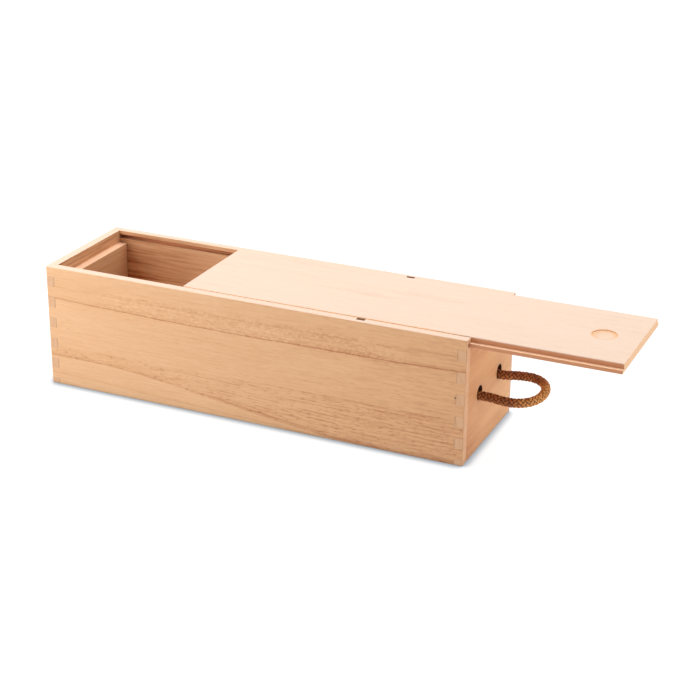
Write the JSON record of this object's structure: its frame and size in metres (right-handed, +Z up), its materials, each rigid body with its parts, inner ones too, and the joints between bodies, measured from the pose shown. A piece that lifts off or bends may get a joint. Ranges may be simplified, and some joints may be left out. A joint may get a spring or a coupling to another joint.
{
  "type": "wooden wine box",
  "caption": "Long wooden box for one bottle, with finger-jointed walls, a lid that slides out in grooves, a neck rest inside and a rope handle on one end.",
  "frame": {"origin": "centre of the box's underside, on the surface that it stands on", "axes": "+X along the box towards the rope handle and the way the lid slides out, +Y towards the back side wall, +Z up"},
  "size_m": [0.461, 0.106, 0.0995],
  "materials": {
    "side_wood": "planed bare wood, long grain",
    "end_wood": "planed bare wood, end grain on the fingers",
    "panel_wood": "planed bare wood",
    "fitting_wood": "planed bare wood",
    "lid_wood": "planed bare wood, very even grain",
    "rope": "braided cord"
  },
  "bodies": {
    "box": {"front_side": "side_wood", "back_side": "side_wood", "closed_end": "end_wood", "handle_end": "end_wood", "bottom_panel": "panel_wood", "base_spacer": "fitting_wood", "neck_rest": "fitting_wood", "front_knot": "rope", "back_knot": "rope"},
    "lid": {"sliding_lid": "lid_wood"},
    "handle": {"rope_loop": "rope"}
  },
  "joints": [
    {"name": "lid_slide", "type": "slide", "parent": "box", "child": "lid", "axis": [1, 0, 0], "range_m": [-0.111, 0.232]},
    {"name": "handle_swing", "type": "hinge", "parent": "box", "child": "handle", "pos_m": [0.18, 0, 0.044], "axis": [0, 1, 0], "range_deg": [-85, 85]}
  ]
}
